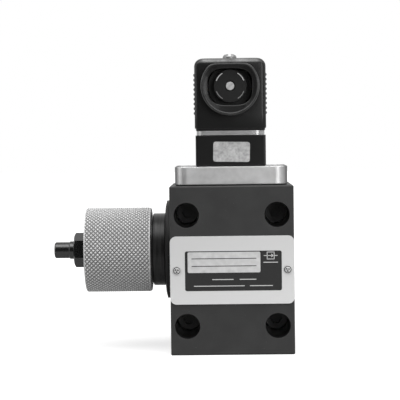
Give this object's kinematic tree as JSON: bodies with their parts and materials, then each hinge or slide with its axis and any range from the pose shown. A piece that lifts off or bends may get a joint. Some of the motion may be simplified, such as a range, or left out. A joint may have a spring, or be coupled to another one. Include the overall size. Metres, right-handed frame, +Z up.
{
  "type": "hydraulic pressure switch",
  "caption": "Subplate-mounted hydraulic control valve block with a knurled setting knob, lock nut and top electrical plug connector.",
  "frame": {"origin": "centre of the four-screw pattern on the mounting face", "axes": "+Y leaves the mounting face, +Z is up, +X is to the right seen from the front; the setting knob points to -X"},
  "size_m": [0.0949, 0.0552, 0.1171],
  "materials": {
    "body_steel": "dark grey phosphated, fine ground surface",
    "black_steel": "black oxide, satin, turned",
    "bright_steel": "zinc plated, semi bright",
    "plain_steel": "plain machined, oiled",
    "spring_steel": "oil-hardened spring wire",
    "knob_aluminium": "diamond knurled, satin anodised",
    "plate_aluminium": "brushed, satin",
    "nameplate_aluminium": null,
    "tinned_brass": "tinned",
    "brass_contact": "plain",
    "rubber_black": "matt black nitrile",
    "gasket_rubber": "grey, slightly glossy",
    "seal_ptfe": "filled PTFE",
    "plug_plastic": "black glass-filled polyamide, satin",
    "base_plastic": "black glass-filled polyamide, matt",
    "insert_plastic": "black, matt",
    "switch_plastic": "dark phenolic",
    "button_plastic": "red",
    "wire_sleeve": "PVC sleeve, one colour for each wire",
    "label_foil": "silver foil sticker, lightly mottled"
  },
  "bodies": {
    "valve": {"valve_body": "body_steel", "mounting_screws": "black_steel", "port_o_rings": "rubber_black", "nameplate": "nameplate_aluminium", "nameplate_rivets": "bright_steel", "flange_ring": "black_steel", "guide_bush": "black_steel", "bush_o_ring": "rubber_black", "main_spring": "spring_steel", "piston_seal": "seal_ptfe", "piston_cartridge": "plain_steel", "cartridge_o_ring": "rubber_black", "switch_case": "switch_plastic", "switch_lid": "switch_plastic", "switch_terminals": "brass_contact", "switch_screws": "bright_steel", "lead_wires": "wire_sleeve", "cover_gasket": "rubber_black", "cover_plate": "plate_aluminium", "cover_screws": "bright_steel", "base_gasket": "rubber_black", "connector_base": "base_plastic", "base_screws": "bright_steel", "base_label": "label_foil", "contact_blades": "tinned_brass", "earth_blade": "tinned_brass", "threaded_insert": "brass_contact", "plug_gasket": "gasket_rubber"},
    "spring_seat": {"spring_seat": "plain_steel", "thrust_ball": "bright_steel"},
    "knob": {"knob": "knob_aluminium", "spindle": "black_steel"},
    "nut_washer": {"nut_washer": "black_steel"},
    "lock_nut": {"lock_nut": "black_steel"},
    "piston": {"piston": "bright_steel", "spring_plate": "plain_steel"},
    "switch_button": {"switch_button": "button_plastic"},
    "plug": {"plug_housing": "plug_plastic", "plug_insert": "insert_plastic", "plug_contacts": "brass_contact", "terminal_screws": "bright_steel", "cable_seal": "rubber_black", "thrust_washer": "black_steel", "blanking_disc": "insert_plastic", "blanking_screw": "bright_steel"},
    "screw_seal": {"plug_screw_seal": "rubber_black"},
    "plug_screw": {"plug_screw": "bright_steel"}
  },
  "joints": [
    {"name": "setting_feed", "type": "slide", "parent": "valve", "child": "spring_seat", "axis": [1, 0, 0], "range_m": [-0.0061, 0.0006], "deforming": ["main_spring"]},
    {"name": "knob_turn", "type": "hinge", "parent": "spring_seat", "child": "knob", "pos_m": [-0.044, -0.022, 0.007], "axis": [1, 0, 0], "range_deg": [-2160, 198]},
    {"name": "nut_back_off", "type": "slide", "parent": "knob", "child": "nut_washer", "axis": [-1, 0, 0], "range_m": [0, 0.00105]},
    {"name": "lock_nut_turn", "type": "hinge", "parent": "nut_washer", "child": "lock_nut", "pos_m": [-0.06, -0.022, 0.007], "axis": [-1, 0, 0], "range_deg": [0, 360]},
    {"name": "piston_stroke", "type": "slide", "parent": "valve", "child": "piston", "axis": [-1, 0, 0], "range_m": [0, 0.0008], "stiffness_N_per_m": 2000, "deforming": ["main_spring"]},
    {"name": "button_travel", "type": "slide", "parent": "valve", "child": "switch_button", "axis": [-1, 0, 0], "range_m": [0, 0.00081]},
    {"name": "plug_pull", "type": "slide", "parent": "valve", "child": "plug", "axis": [0, 0, 1], "range_m": [0, 0.02]},
    {"name": "screw_lift", "type": "slide", "parent": "plug", "child": "screw_seal", "axis": [0, 0, 1], "range_m": [0, 0.005]},
    {"name": "screw_turn", "type": "hinge", "parent": "screw_seal", "child": "plug_screw", "pos_m": [0, -0.022, 0.08], "axis": [0, 0, 1], "range_deg": [0, 3605]}
  ],
  "couplings": [
    {"joint": "setting_feed", "follows": "knob_turn", "m_per_rad": 0.00015915},
    {"joint": "nut_back_off", "follows": "lock_nut_turn", "m_per_rad": 0.00015915},
    {"joint": "button_travel", "follows": "piston_stroke", "ratio": 1},
    {"joint": "screw_turn", "follows": "screw_lift", "rad_per_m": 12566}
  ]
}
